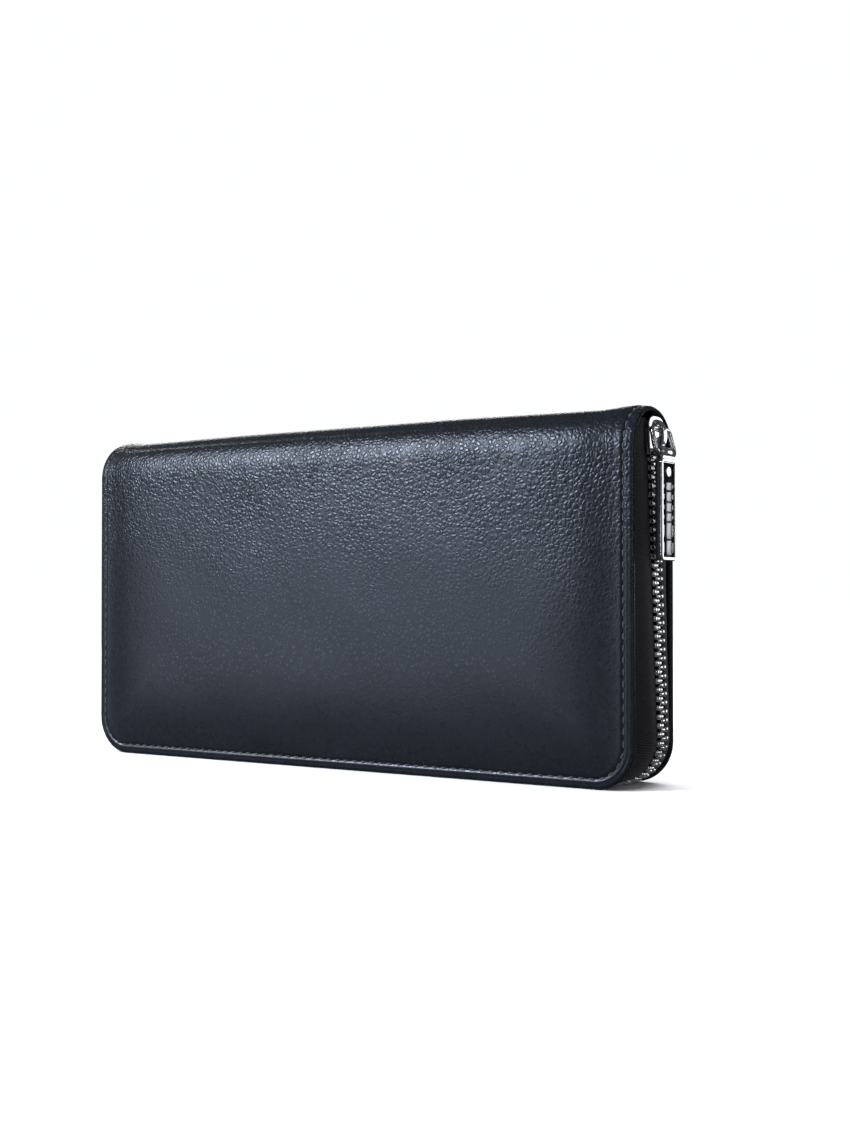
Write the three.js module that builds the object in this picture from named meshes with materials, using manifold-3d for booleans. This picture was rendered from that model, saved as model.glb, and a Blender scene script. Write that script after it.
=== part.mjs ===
// A zip-around long wallet, standing on its long zip edge with the spine on top.
// Millimetres, +X along the wallet, -Y towards the front cover, +Z up, origin at the bottom centre.
import * as THREE from "three";
import { mergeVertices } from "three/addons/utils/BufferGeometryUtils.js";
import Module from "manifold-3d";

const wasm = await Module();
wasm.setup();

// Covers
const WALLET_LENGTH = 200;
const WALLET_HEIGHT = 105;
const RIM_HALF_DEPTH = 13; // outer face of the leather at its edge, from the middle plane
const PAD_HALF_DEPTH = 15; // outer face of the leather over the foam
const CORNER_RADIUS = 12;
const LEATHER = 1.2;
const BEVEL_START = 3.5; // from the end of the cover to where the padding starts to rise
const BEVEL_END = 14;
const PAD_TURN_RADIUS = 8; // where the padded face turns over into the spine
const COVER_GAP = 0.3; // between the two halves of the leather, along the crown of the spine

// Zip
const TAPE = 0.6;
const CHAIN_TOP_X = 98.9; // middle of the chain at the slider end
const CHAIN_TOP_Z = 101;
const CHAIN_CORNER = { x: 89.6, z: 13.9, radius: 12.3 };
const CHAIN_TILT = THREE.MathUtils.degToRad(2.05); // the chain leans outwards towards the corner
const TOOTH_PITCH = 2.42;
const TOOTH_WIDTH = 0.9;
const TOOTH_REACH = 0.7; // past the middle plane
const TOOTH_ROOT = 1.5;
const ROW_BACK = 2.9;
const CHAIN_HALF_THICKNESS = 1.0;
const TAPE_INNER_EDGE = 3.2;
const CHAIN_END_Z = 98.2; // last tooth below the slider's wedge
const CHAIN_FAR_END_Z = 96.4; // last tooth below the bottom stop

// Slider and pull
const SLIDER_Z = 95.5;
const PLATE_GAP = 1.3; // from the middle of the chain to the inside of each plate
const PLATE = 0.8;
const CROSSBAR = { out: 3.1, up: 2.2, radius: 0.65 };
const CLEARANCE = 0.3;
const LOWER_BAR = { x: 103.6, z: 91.5, radius: 0.6 };
const RING_WIDTH = 13;
const RING_ARM = { width: 1.3, thickness: 1.2 };
const TAB = { width: 9.2, length: 29.5, thickness: 2 };
const TAB_BARREL = { radius: 1.45, length: 8 };
const TAB_BARS = { count: 4, top: -6, reach: 2.6, gap: 1.6 }; // raised bars in the tab's recess

// Inside
const FOAM = 1.7;
const BOARD = 1;
const LINING = 0.6;
const SPINE_LINING = { radius: 11.2, halfLength: 91.5 };
const CARD = 0.4;
const CARD_PANEL = { near: 8.9, low: 10, high: 88, halfLength: 88 };
const SLOTS_PER_SIDE = 4;
const SLOT_STEP = 17;
const SLOT_DEPTH = 24;
const SLOT_HALF_LENGTH = 87;
const SLOT_NEAR = [8.2, 7.5]; // every second slot lies further in, so that neighbours can overlap
const POCKET_WALL = 0.7;
const POCKET_HALF_LENGTH = 86;
const POCKET_HALF_GAP = 2.15;
const POCKET_BOTTOM = 12;
const POCKET_TOP = 94;
const POCKET_CORNER = 3;
const POCKET_SLOT = { halfLength: 76, low: 19, high: 26, corner: 2 };
const SPACER_WIDTH = 3;
const COIN_TAPE = { near: 1.4, overlap: 1.8, gap: 1.3 }; // overlap onto the wall, gap to the zip's middle
const COIN_CHAIN = { near: 1.2, far: 2.3, halfHeight: 1 };
const COIN_SLIDER_X = 68;
const GUSSET_INNER_X = 89.5;
const GUSSET_OUTER_X = 94;
const GUSSET = { low: 11, high: 90, outerFold: 9, innerFold: 4.8, thickness: 0.5 };

const HALF_LENGTH = WALLET_LENGTH / 2;
const ARCH_Z = WALLET_HEIGHT - RIM_HALF_DEPTH; // centre of the arch at the wallet's ends

const wallet = new THREE.Group();

const finishes = {
  leather: new THREE.MeshStandardMaterial({ color: 0x23262c, roughness: 0.5 }),
  foam: new THREE.MeshStandardMaterial({ color: 0x55565a, roughness: 0.95 }),
  board: new THREE.MeshStandardMaterial({ color: 0x6f6557, roughness: 0.9 }),
  lining: new THREE.MeshStandardMaterial({ color: 0x2b2c31, roughness: 0.8 }),
  tape: new THREE.MeshStandardMaterial({ color: 0x1b191f, roughness: 0.9 }),
  metal: new THREE.MeshStandardMaterial({ color: 0xc6c8cb, roughness: 0.2, metalness: 1 }),
};

function addMesh(parent, name, geometry, finish) {
  const mesh = new THREE.Mesh(geometry, finishes[finish]);
  mesh.name = name;
  parent.add(mesh);
  return mesh;
}

function solid(geometry) {
  const bare = geometry.clone();
  bare.deleteAttribute("normal");
  bare.deleteAttribute("uv");
  const merged = mergeVertices(bare, 1e-4);
  const vertProperties = new Float32Array(merged.attributes.position.array);
  const triVerts = new Uint32Array(merged.index.array);
  return new wasm.Manifold(new wasm.Mesh({ numProp: 3, vertProperties, triVerts }));
}

function fromSolid(body) {
  const mesh = body.getMesh();
  const geometry = new THREE.BufferGeometry();
  geometry.setAttribute("position", new THREE.BufferAttribute(mesh.vertProperties, 3));
  geometry.setIndex(new THREE.BufferAttribute(mesh.triVerts, 1));
  return geometry;
}

// A box between two corners.
function block(low, high) {
  const size = new THREE.Vector3().subVectors(high, low);
  const middle = new THREE.Vector3().addVectors(low, high).multiplyScalar(0.5);
  return new THREE.BoxGeometry(size.x, size.y, size.z).translate(middle.x, middle.y, middle.z);
}

// An outline of 2-D points pulled into a slab between two heights.
function slab(points, from, to, holes = []) {
  const shape = new THREE.Shape(points);
  shape.holes = holes.map((hole) => new THREE.Path(hole));
  const options = { depth: to - from, bevelEnabled: false };
  return new THREE.ExtrudeGeometry(shape, options).translate(0, 0, from);
}

function roundedRectangle(left, low, right, high, radius, steps = 4) {
  const corners = [
    [right - radius, low + radius, -90],
    [right - radius, high - radius, 0],
    [left + radius, high - radius, 90],
    [left + radius, low + radius, 180],
  ];
  return corners.flatMap(([x, y, start]) =>
    Array.from({ length: steps + 1 }, (_, i) => {
      const angle = THREE.MathUtils.degToRad(start + (90 * i) / steps);
      return new THREE.Vector2(x + radius * Math.cos(angle), y + radius * Math.sin(angle));
    })
  );
}

// A sheet lying in the X-Z plane, between two distances from the middle plane. Side -1 is the front.
function panel(side, near, far, outline, holes = []) {
  const upright = slab(outline, near, far, holes).rotateX(Math.PI / 2);
  return side < 0 ? upright : mirrored(upright);
}

// The same shape on the other side of the middle plane, with its faces turned outwards again.
function mirrored(geometry) {
  const flat = geometry.index ? geometry.toNonIndexed() : geometry.clone();
  flat.scale(1, -1, 1);
  const place = flat.attributes.position;
  const first = new THREE.Vector3();
  const last = new THREE.Vector3();
  for (let i = 0; i < place.count; i += 3) {
    first.fromBufferAttribute(place, i);
    last.fromBufferAttribute(place, i + 2);
    place.setXYZ(i, last.x, last.y, last.z);
    place.setXYZ(i + 2, first.x, first.y, first.z);
  }
  flat.deleteAttribute("normal");
  return flat;
}

// A closed sheet on a grid of points. Each point moves by the two distances along its own normal.
function sheet(rows, distanceOut, distanceIn) {
  const rowCount = rows.length;
  const columnCount = rows[0].length;
  const positions = [];
  const across = new THREE.Vector3();
  const along = new THREE.Vector3();
  const normals = rows.map((row, i) =>
    row.map((_, j) => {
      along.subVectors(rows[Math.min(i + 1, rowCount - 1)][j], rows[Math.max(i - 1, 0)][j]);
      across.subVectors(row[Math.min(j + 1, columnCount - 1)], row[Math.max(j - 1, 0)]);
      return new THREE.Vector3().crossVectors(across, along).normalize();
    })
  );
  for (const distance of [distanceOut, distanceIn]) {
    rows.forEach((row, i) =>
      row.forEach((point, j) => {
        positions.push(...point.clone().addScaledVector(normals[i][j], distance).toArray());
      })
    );
  }
  const layer = rowCount * columnCount;
  const outer = (i, j) => i * columnCount + j;
  const inner = (i, j) => layer + outer(i, j);
  const index = [];
  const quad = (a, b, c, d) => index.push(a, b, c, a, c, d);
  for (let i = 0; i < rowCount - 1; i++) {
    for (let j = 0; j < columnCount - 1; j++) {
      quad(outer(i, j), outer(i, j + 1), outer(i + 1, j + 1), outer(i + 1, j));
      quad(inner(i, j), inner(i + 1, j), inner(i + 1, j + 1), inner(i, j + 1));
    }
    quad(outer(i, 0), outer(i + 1, 0), inner(i + 1, 0), inner(i, 0));
    const last = columnCount - 1;
    quad(outer(i + 1, last), outer(i, last), inner(i, last), inner(i + 1, last));
  }
  const top = rowCount - 1;
  for (let j = 0; j < columnCount - 1; j++) {
    quad(outer(0, j + 1), outer(0, j), inner(0, j), inner(0, j + 1));
    quad(outer(top, j), outer(top, j + 1), inner(top, j + 1), inner(top, j));
  }
  const geometry = new THREE.BufferGeometry();
  geometry.setAttribute("position", new THREE.Float32BufferAttribute(positions, 3));
  geometry.setIndex(index);
  return geometry;
}

// ---- Covers ----

// Front of the rim's profile: straight up from the edge, then a quarter arch to the crown.
// Each entry holds the rim's point and the padded face's point at the same place along the profile.
function coverProfile() {
  const straight = [
    [0, 0],
    [4, 4],
    [9, 9],
    [14, 14],
    [52, 54],
    [ARCH_Z, WALLET_HEIGHT - PAD_TURN_RADIUS],
  ].map(([rimZ, padZ]) => ({ rim: [RIM_HALF_DEPTH, rimZ], pad: [PAD_HALF_DEPTH, padZ] }));
  const steps = 7;
  const arch = Array.from({ length: steps }, (_, i) => {
    const rimAngle = ((i + 1) / steps) * (Math.PI / 2);
    const padAngle = Math.min((i + 1) / (steps - 1), 1) * (Math.PI / 2);
    const padY = PAD_HALF_DEPTH - PAD_TURN_RADIUS * (1 - Math.cos(padAngle));
    const padZ = WALLET_HEIGHT - PAD_TURN_RADIUS * (1 - Math.sin(padAngle));
    const atCrown = i === steps - 1;
    return {
      rim: [RIM_HALF_DEPTH * Math.cos(rimAngle), ARCH_Z + RIM_HALF_DEPTH * Math.sin(rimAngle)],
      pad: [atCrown ? 0 : padY, padZ],
    };
  });
  return [...straight, ...arch];
}

// Places along the wallet, with the height of the rounded outline's lower edge at each.
function coverStations() {
  const middle = HALF_LENGTH - CORNER_RADIUS;
  const cornerSteps = 4;
  const right = Array.from({ length: cornerSteps + 1 }, (_, i) => {
    const angle = (i / cornerSteps) * (Math.PI / 2);
    return { x: middle + CORNER_RADIUS * Math.cos(angle), low: CORNER_RADIUS * (1 - Math.sin(angle)) };
  });
  right.push({ x: HALF_LENGTH - BEVEL_END, low: 0 });
  right.push({ x: 0, low: 0 });
  const left = right.slice(0, -1).map(({ x, low }) => ({ x: -x, low }));
  return [...left, ...right.reverse()];
}

function coverSurface() {
  const stations = coverStations();
  return coverProfile().map(({ rim, pad }) =>
    stations.map(({ x, low }) => {
      const inboard = (HALF_LENGTH - BEVEL_START - Math.abs(x)) / (BEVEL_END - BEVEL_START);
      const risen = THREE.MathUtils.clamp((rim[1] - 4) / 10, 0, 1);
      const padding = THREE.MathUtils.clamp(inboard, 0, 1) * risen;
      const depth = THREE.MathUtils.lerp(rim[0], pad[0], padding);
      const height = THREE.MathUtils.lerp(rim[1], pad[1], padding);
      const lifted = height < ARCH_Z ? low + height * (1 - low / ARCH_Z) : height;
      return new THREE.Vector3(x, -Math.max(depth, COVER_GAP / 2), lifted);
    })
  );
}

function coverLeather() {
  const body = solid(sheet(coverSurface(), 0, -LEATHER));
  const frontHalf = block(new THREE.Vector3(-150, -50, -50), new THREE.Vector3(150, -COVER_GAP / 2, 150));
  return fromSolid(body.intersect(solid(frontHalf)));
}

function spineLining() {
  const steps = 8;
  const start = Math.PI * 0.03;
  const sweep = Math.PI - 2 * start;
  const rows = Array.from({ length: steps + 1 }, (_, i) => {
    const angle = start + (sweep * i) / steps;
    const y = -SPINE_LINING.radius * Math.cos(angle);
    const z = ARCH_Z + SPINE_LINING.radius * Math.sin(angle);
    const end = SPINE_LINING.halfLength;
    return [-end, end].map((x) => new THREE.Vector3(x, y, z));
  });
  return sheet(rows, 0.25, -0.25);
}

for (const [side, name] of [[-1, "front"], [1, "back"]]) {
  const leather = coverLeather();
  addMesh(wallet, `${name}_cover_leather`, side < 0 ? leather : mirrored(leather), "leather");
  const foamFar = PAD_HALF_DEPTH - LEATHER - CLEARANCE;
  const foam = panel(side, foamFar - FOAM, foamFar, roundedRectangle(-84, 16, 84, 90, 6));
  addMesh(wallet, `${name}_foam_pad`, foam, "foam");
  const boardFar = RIM_HALF_DEPTH - LEATHER - CLEARANCE;
  const board = panel(side, boardFar - BOARD, boardFar, roundedRectangle(-91.2, 8.8, 91.2, 89, 6));
  addMesh(wallet, `${name}_stiffener_board`, board, "board");
  const liningFar = boardFar - BOARD - CLEARANCE;
  const lining = panel(side, liningFar - LINING, liningFar, roundedRectangle(-96, 4.5, 96, 91.5, 8));
  addMesh(wallet, `${name}_lining`, lining, "lining");
}
addMesh(wallet, "spine_lining", spineLining(), "lining");

// ---- Zip tapes ----

// Middle of the chain at a height on the right side, above the corner.
function chainSideX(z) {
  return CHAIN_TOP_X + (CHAIN_TOP_Z - 3 - z) * Math.tan(CHAIN_TILT);
}

// Stations along the zip from the slider end down, along the bottom and up the other side.
// Each has the chain's point, the cover outline's point, and the outward direction there.
function zipStations() {
  const cornerSteps = 6;
  const start = CHAIN_CORNER.z + CHAIN_CORNER.radius * Math.sin(CHAIN_TILT);
  const right = [CHAIN_TOP_Z, 98, 95, ARCH_Z, 86, 45].map((z) => ({
    chain: [chainSideX(z), z],
    edge: [HALF_LENGTH, z],
    out: [1, 0],
  }));
  for (let i = 0; i <= cornerSteps; i++) {
    const turn = (i / cornerSteps) * (Math.PI / 2);
    const chainTurn = -CHAIN_TILT + (i / cornerSteps) * (Math.PI / 2 + CHAIN_TILT);
    const isStart = i === 0;
    right.push({
      chain: [
        CHAIN_CORNER.x + CHAIN_CORNER.radius * Math.cos(chainTurn),
        isStart ? start : CHAIN_CORNER.z - CHAIN_CORNER.radius * Math.sin(chainTurn),
      ],
      edge: [
        HALF_LENGTH - CORNER_RADIUS * (1 - Math.cos(turn)),
        CORNER_RADIUS * (1 - Math.sin(turn)),
      ],
      out: [Math.cos(turn), -Math.sin(turn)],
    });
  }
  const left = right.map(({ chain, edge, out }) => ({
    chain: [-chain[0], chain[1]],
    edge: [-edge[0], edge[1]],
    out: [-out[0], out[1]],
  }));
  return [...right, ...left.reverse()];
}

// Across the tape: the sewn hem behind the cover's rim, then out to the row of teeth.
function tapeSection({ chain, edge, out }) {
  const inner = RIM_HALF_DEPTH - LEATHER;
  const above = Math.max(edge[1] - ARCH_Z, 0);
  const squeeze = Math.sqrt(Math.max((inner - 0.4) ** 2 - above ** 2, 0)) / inner;
  const hem = [
    [-8, inner - 0.6],
    [-2.8, inner - 0.6],
    [-1.8, inner - 2.2],
  ].map(([n, depth]) => [edge[0] + n * out[0], depth * squeeze, edge[1] + n * out[1]]);
  const row = [5.2, TAPE_INNER_EDGE].map((depth) => [chain[0], depth, chain[1]]);
  return [...hem, ...row].map(([x, depth, z]) => new THREE.Vector3(x, -depth, z));
}

const frontTape = sheet(zipStations().map(tapeSection), TAPE / 2, -TAPE / 2);
addMesh(wallet, "front_zip_tape", frontTape, "tape");
addMesh(wallet, "back_zip_tape", mirrored(frontTape), "tape");

// ---- Rows of teeth ----

// The chain's middle line as a path: its point and outward direction at a distance along it.
function chainPath() {
  const { x, z, radius } = CHAIN_CORNER;
  const startZ = z + radius * Math.sin(CHAIN_TILT);
  const slope = Math.cos(CHAIN_TILT);
  const sideLength = (CHAIN_END_Z - startZ) / slope;
  const turn = Math.PI / 2 + CHAIN_TILT;
  const arcLength = turn * radius;
  const bottomLength = 2 * x;
  const farLength = (CHAIN_FAR_END_Z - startZ) / slope;
  const total = sideLength + 2 * arcLength + bottomLength + farLength;
  const onCorner = (angle, sign) => ({
    x: sign * (x + radius * Math.cos(angle)),
    z: z - radius * Math.sin(angle),
    out: [sign * Math.cos(angle), -Math.sin(angle)],
  });
  const onSide = (height, sign) => ({
    x: sign * chainSideX(height),
    z: height,
    out: [sign * Math.cos(CHAIN_TILT), Math.sin(CHAIN_TILT)],
  });
  const at = (s) => {
    const pastSide = s - sideLength;
    const pastCorner = pastSide - arcLength;
    const pastBottom = pastCorner - bottomLength;
    const pastAll = pastBottom - arcLength;
    if (pastSide <= 0) return onSide(CHAIN_END_Z - s * slope, 1);
    if (pastCorner <= 0) return onCorner(pastSide / radius - CHAIN_TILT, 1);
    if (pastBottom <= 0) return { x: x - pastCorner, z: z - radius, out: [0, -1] };
    if (pastAll <= 0) return onCorner(Math.PI / 2 - pastBottom / radius, -1);
    return onSide(startZ + pastAll * slope, -1);
  };
  return { total, at };
}

// The front row of teeth on its backing, as one closed comb. The two rows sit half a pitch apart.
function teethRow(shift) {
  const { total, at } = chainPath();
  const count = Math.floor((total - TOOTH_PITCH) / TOOTH_PITCH);
  const positions = [];
  const index = [];
  const quad = (a, b, c, d) => index.push(a, b, c, a, c, d);
  // Six points for a cut across the row: three depths on the outer face, then three on the inner.
  const cut = (s, depths) => {
    const { x, z, out } = at(s);
    const first = positions.length / 3;
    for (const level of [CHAIN_HALF_THICKNESS, -CHAIN_HALF_THICKNESS]) {
      for (const depth of depths) positions.push(x + level * out[0], -depth, z + level * out[1]);
    }
    return first;
  };
  let before = null;
  for (let i = 0; i < count; i++) {
    const middle = TOOTH_PITCH * (i + 0.5) + shift;
    const start = cut(middle - TOOTH_WIDTH / 2, [ROW_BACK, TOOTH_ROOT, -TOOTH_REACH]);
    const end = cut(middle + TOOTH_WIDTH / 2, [ROW_BACK, TOOTH_ROOT, -TOOTH_REACH]);
    quad(start, end, end + 1, start + 1);
    quad(start + 1, end + 1, end + 2, start + 2);
    quad(start + 3, start + 4, end + 4, end + 3);
    quad(start + 4, start + 5, end + 5, end + 4);
    quad(start + 2, end + 2, end + 5, start + 5);
    quad(start, start + 3, end + 3, end);
    quad(start + 1, start + 2, start + 5, start + 4);
    quad(end + 1, end + 4, end + 5, end + 2);
    if (before !== null) {
      quad(before, start, start + 1, before + 1);
      quad(before + 3, before + 4, start + 4, start + 3);
      quad(before + 1, start + 1, start + 4, before + 4);
      quad(before, before + 3, start + 3, start);
    } else {
      quad(start, start + 1, start + 4, start + 3);
    }
    before = end;
  }
  quad(before, before + 3, before + 4, before + 1);
  const geometry = new THREE.BufferGeometry();
  geometry.setAttribute("position", new THREE.Float32BufferAttribute(positions, 3));
  geometry.setIndex(index);
  return geometry;
}

addMesh(wallet, "front_teeth", teethRow(0), "metal");
addMesh(wallet, "back_teeth", mirrored(teethRow(TOOTH_PITCH / 2)), "metal");

// ---- Slider, stops and pull ----

// Everything on the slider is drawn with x outwards from the chain and z along it.
const sliderPlace = new THREE.Group();
sliderPlace.position.set(chainSideX(SLIDER_Z), 0, SLIDER_Z);
sliderPlace.rotation.y = -CHAIN_TILT;
wallet.add(sliderPlace);

function sliderPlateOutline() {
  const half = [
    [3.4, -6],
    [4.4, -4.6],
    [4.7, 3],
    [4.1, 5.2],
    [2.6, 6],
  ];
  const left = half.map(([y, z]) => new THREE.Vector2(-y, z)).reverse();
  return [...half.map(([y, z]) => new THREE.Vector2(y, z)), ...left];
}

// A slab drawn in the Y-Z plane between two distances out from the chain.
function upright(outline, from, to) {
  return slab(outline, from, to).rotateZ(Math.PI / 2).rotateY(Math.PI / 2);
}

function sliderBody() {
  const corner = (x, y, z) => new THREE.Vector3(x, y, z);
  const plateFar = PLATE_GAP + PLATE;
  const lapped = 0.1; // joined pieces share this much
  const pieces = [
    upright(sliderPlateOutline(), PLATE_GAP, plateFar),
    upright(sliderPlateOutline(), -plateFar, -PLATE_GAP),
    block(corner(-PLATE_GAP - lapped, -0.9, 3.6), corner(PLATE_GAP + lapped, 0.9, 5.6)),
  ];
  for (const side of [-1, 1]) {
    for (const face of [-1, 1]) {
      const near = TAPE / 2 + CLEARANCE;
      const far = PLATE_GAP + lapped;
      const low = corner(face > 0 ? near : -far, side > 0 ? 3.6 : -4.4, -4.6);
      const high = corner(face > 0 ? far : -near, side > 0 ? 4.4 : -3.6, 2.8);
      pieces.push(block(low, high));
    }
  }
  const bridge = new THREE.Shape();
  bridge.moveTo(plateFar - lapped, -3.4);
  bridge.lineTo(3.2, -3.2);
  bridge.quadraticCurveTo(4.7, -2.2, 4.8, 0);
  bridge.lineTo(4.8, 3);
  bridge.quadraticCurveTo(4.7, 4.6, 3.2, 4.8);
  bridge.lineTo(plateFar - lapped, 5);
  const hump = new THREE.ExtrudeGeometry(bridge, { depth: 2.2, bevelEnabled: false, curveSegments: 4 });
  pieces.push(hump.translate(0, 0, -1.1).rotateX(Math.PI / 2));
  const tunnel = new THREE.CylinderGeometry(
    CROSSBAR.radius + CLEARANCE, CROSSBAR.radius + CLEARANCE, 6, 12
  ).translate(CROSSBAR.out, 0, CROSSBAR.up);
  const body = pieces.map(solid).reduce((whole, piece) => whole.add(piece));
  return fromSolid(body.subtract(solid(tunnel)));
}
addMesh(sliderPlace, "zip_slider", sliderBody(), "metal");

for (const [side, name] of [[-1, "front"], [1, "back"]]) {
  const near = 1.3;
  const far = 2.9;
  const low = new THREE.Vector3(-1, side > 0 ? near : -far, 3.4);
  const high = new THREE.Vector3(1, side > 0 ? far : -near, 5.4);
  addMesh(sliderPlace, `${name}_top_stop`, block(low, high), "metal");
}

const farEnd = new THREE.Group();
farEnd.position.set(-chainSideX(CHAIN_FAR_END_Z + 2.2), 0, CHAIN_FAR_END_Z + 2.2);
farEnd.rotation.y = CHAIN_TILT;
wallet.add(farEnd);
const bottomStop = roundedRectangle(-2.7, -1.4, 2.7, 1.4, 0.6, 2);
addMesh(farEnd, "bottom_stop", upright(bottomStop, -1.1, 1.1), "metal");

// The ring is flat, and leans out from the slider's tunnel to the tab's barrel.
const crossbarPlace = new THREE.Vector3(CROSSBAR.out, 0, CROSSBAR.up);
crossbarPlace.applyEuler(sliderPlace.rotation).add(sliderPlace.position);
const ringReach = Math.hypot(LOWER_BAR.x - crossbarPlace.x, crossbarPlace.z - LOWER_BAR.z);
const ringLean = Math.atan2(LOWER_BAR.x - crossbarPlace.x, crossbarPlace.z - LOWER_BAR.z);

function pullRing() {
  const arm = RING_ARM.width;
  const half = RING_WIDTH / 2;
  const thickness = RING_ARM.thickness;
  const roundBar = (radius, up) =>
    new THREE.CylinderGeometry(radius, radius, RING_WIDTH - arm, 12).translate(0, 0, up);
  const armOutline = roundedRectangle(-thickness / 2, -ringReach - 0.9, thickness / 2, 0.9, 0.4, 2);
  const sideArm = (y) => {
    const profile = slab(armOutline, -arm / 2, arm / 2).rotateX(Math.PI / 2);
    return profile.translate(0, y, 0);
  };
  const parts = [
    roundBar(CROSSBAR.radius, 0),
    roundBar(LOWER_BAR.radius, -ringReach),
    sideArm(half - arm / 2),
    sideArm(arm / 2 - half),
  ];
  return fromSolid(parts.map(solid).reduce((whole, piece) => whole.add(piece)));
}
const ringPlace = new THREE.Group();
ringPlace.position.copy(crossbarPlace);
ringPlace.rotation.y = -ringLean;
wallet.add(ringPlace);
addMesh(ringPlace, "pull_ring", pullRing(), "metal");

function pullTab() {
  const half = TAB.thickness / 2;
  const barrel = new THREE.CylinderGeometry(TAB_BARREL.radius, TAB_BARREL.radius, TAB_BARREL.length, 16);
  const face = roundedRectangle(-TAB.width / 2, -TAB.length, TAB.width / 2, -1.9, 1.2, 3);
  const plate = upright(face, -half, half);
  const neck = block(new THREE.Vector3(-half, -3.2, -2.4), new THREE.Vector3(half, 3.2, 0));
  const bore = new THREE.CylinderGeometry(
    LOWER_BAR.radius + CLEARANCE, LOWER_BAR.radius + CLEARANCE, TAB_BARREL.length + 2, 12
  );
  const recessFace = roundedRectangle(1 - TAB.width / 2, 1 - TAB.length, TAB.width / 2 - 1, -4.4, 0.6, 2);
  const recess = upright(recessFace, half - 0.4, half + 1);
  const body = solid(barrel).add(solid(plate)).add(solid(neck));
  let tab = body.subtract(solid(bore)).subtract(solid(recess));
  const { count, top, reach, gap } = TAB_BARS;
  const barPitch = (TAB.length - 8.4) / count;
  for (let i = 0; i < count; i++) {
    const high = top - i * barPitch;
    const low = high - barPitch + gap;
    const bar = block(new THREE.Vector3(half - 0.5, -reach, low), new THREE.Vector3(half - 0.1, reach, high));
    tab = tab.add(solid(bar));
  }
  return fromSolid(tab);
}
const tabPlace = new THREE.Group();
tabPlace.position.set(LOWER_BAR.x, 0, LOWER_BAR.z);
wallet.add(tabPlace);
addMesh(tabPlace, "pull_tab", pullTab(), "metal");

// ---- Inside ----

for (const [side, name] of [[-1, "front"], [1, "back"]]) {
  const card = (near, low, high, halfLength, radius) =>
    panel(side, near, near + CARD, roundedRectangle(-halfLength, low, halfLength, high, radius, 2));
  const { near: panelNear, low: panelLow, high: panelHigh, halfLength: panelHalf } = CARD_PANEL;
  addMesh(wallet, `${name}_card_panel`, card(panelNear, panelLow, panelHigh, panelHalf, 3), "leather");
  for (let i = 0; i < SLOTS_PER_SIDE; i++) {
    const low = POCKET_BOTTOM + i * SLOT_STEP;
    const slot = card(SLOT_NEAR[i % 2], low, low + SLOT_DEPTH, SLOT_HALF_LENGTH, 2);
    addMesh(wallet, `${name}_card_slot_${i + 1}`, slot, "leather");
  }
}

// Side gussets: a strip folded in a W between the two linings.
function gusset(sign) {
  const folds = [
    [GUSSET_OUTER_X, -GUSSET.outerFold],
    [GUSSET_INNER_X, -GUSSET.innerFold],
    [GUSSET_OUTER_X, 0],
    [GUSSET_INNER_X, GUSSET.innerFold],
    [GUSSET_OUTER_X, GUSSET.outerFold],
  ];
  const along = (z) => folds.map(([x, y]) => new THREE.Vector3(sign * x, y, z));
  return sheet([along(GUSSET.low), along(GUSSET.high)], GUSSET.thickness / 2, -GUSSET.thickness / 2);
}
addMesh(wallet, "right_gusset", gusset(1), "leather");
addMesh(wallet, "left_gusset", gusset(-1), "leather");

// Coin pocket: two walls, a spacer sewn between them on three edges, and a zip across the front wall.
const wallOutline = roundedRectangle(
  -POCKET_HALF_LENGTH, POCKET_BOTTOM, POCKET_HALF_LENGTH, POCKET_TOP, POCKET_CORNER, 2
);
const slotOutline = roundedRectangle(
  -POCKET_SLOT.halfLength, POCKET_SLOT.low, POCKET_SLOT.halfLength, POCKET_SLOT.high, POCKET_SLOT.corner, 2
);
const wallFar = POCKET_HALF_GAP + POCKET_WALL;
const coinFrontWall = panel(-1, POCKET_HALF_GAP, wallFar, wallOutline, [slotOutline]);
addMesh(wallet, "coin_front_wall", coinFrontWall, "leather");
addMesh(wallet, "coin_back_wall", panel(1, POCKET_HALF_GAP, wallFar, wallOutline), "leather");

function coinSpacer() {
  const inset = POCKET_HALF_LENGTH - SPACER_WIDTH;
  const inner = roundedRectangle(
    -inset, POCKET_BOTTOM + SPACER_WIDTH, inset, POCKET_TOP - SPACER_WIDTH, 2, 2
  );
  const half = POCKET_HALF_GAP - CLEARANCE;
  return slab(wallOutline, -half, half, [inner]).rotateX(Math.PI / 2);
}
addMesh(wallet, "coin_pocket_spacer", coinSpacer(), "lining");

const slotMiddle = (POCKET_SLOT.low + POCKET_SLOT.high) / 2;
const coinTapeReach = POCKET_SLOT.halfLength + 2;
for (const [name, low, high] of [
  ["coin_zip_lower_tape", POCKET_SLOT.low - COIN_TAPE.overlap, slotMiddle - COIN_TAPE.gap],
  ["coin_zip_upper_tape", slotMiddle + COIN_TAPE.gap, POCKET_SLOT.high + COIN_TAPE.overlap],
]) {
  const outline = roundedRectangle(-coinTapeReach, low, coinTapeReach, high, 0.8, 2);
  addMesh(wallet, name, panel(-1, COIN_TAPE.near, POCKET_HALF_GAP - CLEARANCE, outline), "tape");
}
const coinChainReach = coinTapeReach - 3;
const coinChainLow = slotMiddle - COIN_CHAIN.halfHeight;
const coinChainHigh = slotMiddle + COIN_CHAIN.halfHeight;
const coinChain = roundedRectangle(-coinChainReach, coinChainLow, coinChainReach, coinChainHigh, 0.5, 2);
addMesh(wallet, "coin_zip_teeth", panel(-1, COIN_CHAIN.near, COIN_CHAIN.far, coinChain), "metal");

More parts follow.
